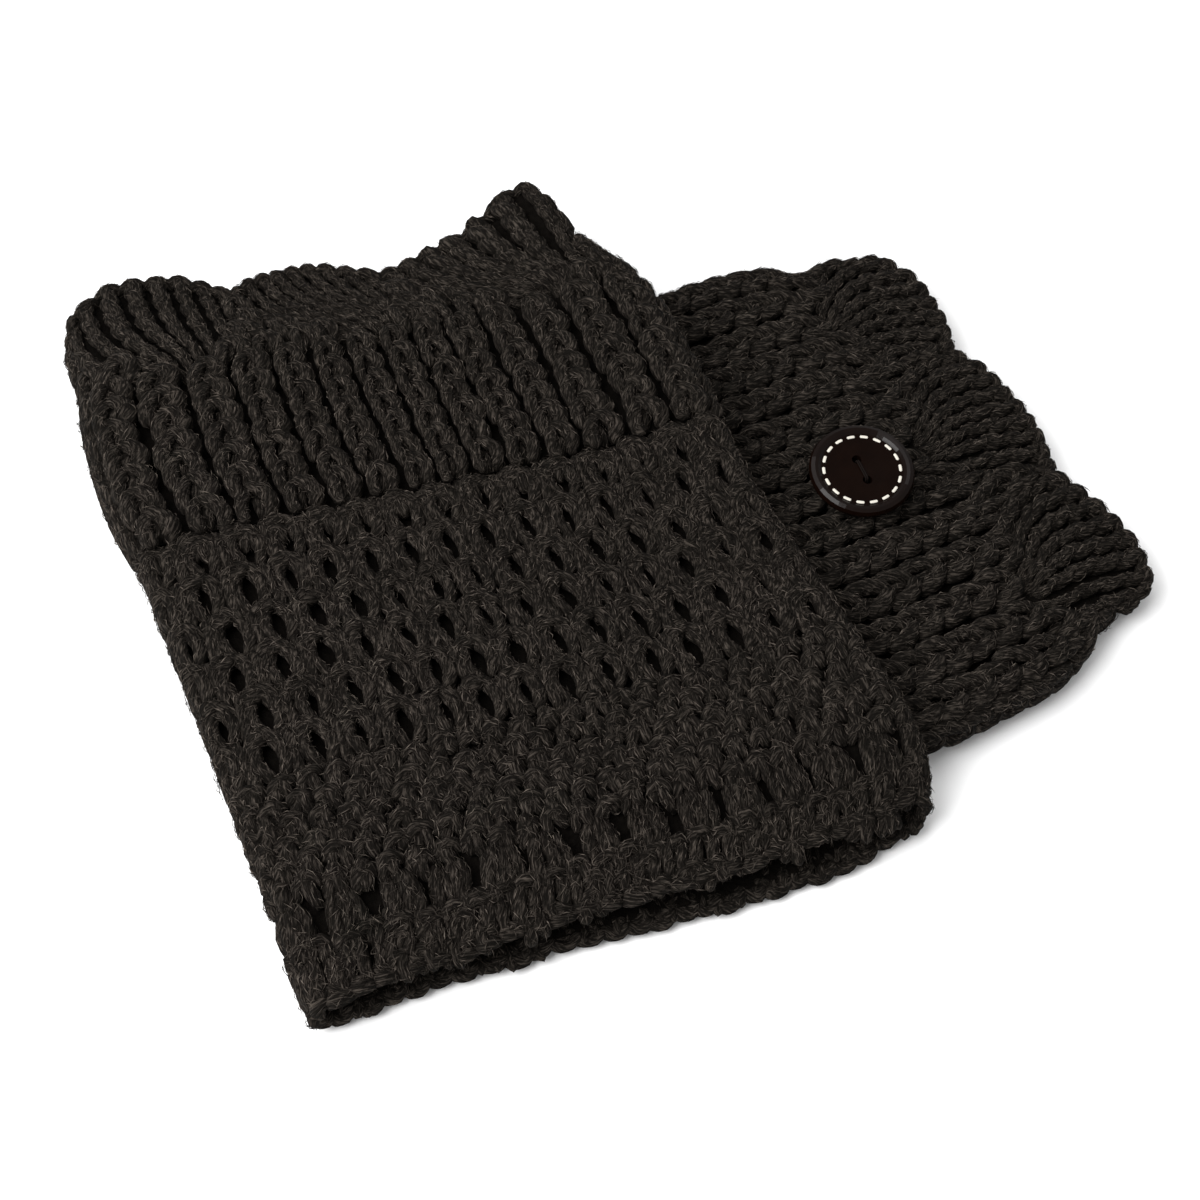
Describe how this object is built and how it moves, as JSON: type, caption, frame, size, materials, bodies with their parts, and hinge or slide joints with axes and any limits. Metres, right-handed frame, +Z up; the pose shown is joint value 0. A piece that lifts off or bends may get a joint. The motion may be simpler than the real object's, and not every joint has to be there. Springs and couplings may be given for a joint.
{
  "type": "pair of crochet leg warmers",
  "caption": "Pair of crochet boot-cuff leg warmers with ribbed scalloped cuffs, openwork bodies and a round button, laid flat one across the other.",
  "frame": {"origin": "middle of the pair's footprint, on the floor", "axes": "+Z up; the upper leg warmer runs along Y with its fans at +Y; the lower one runs along X with its fans at +X"},
  "size_m": [0.211, 0.1954, 0.0246],
  "materials": {
    "yarn": "heathered dark brown-grey chunky yarn, matt",
    "button": "polished dark brown"
  },
  "bodies": {
    "root": {"upper_crochet_body": "yarn", "upper_ribbed_cuff": "yarn", "lower_crochet_body": "yarn", "lower_ribbed_cuff": "yarn", "button": "button"}
  },
  "joints": []
}
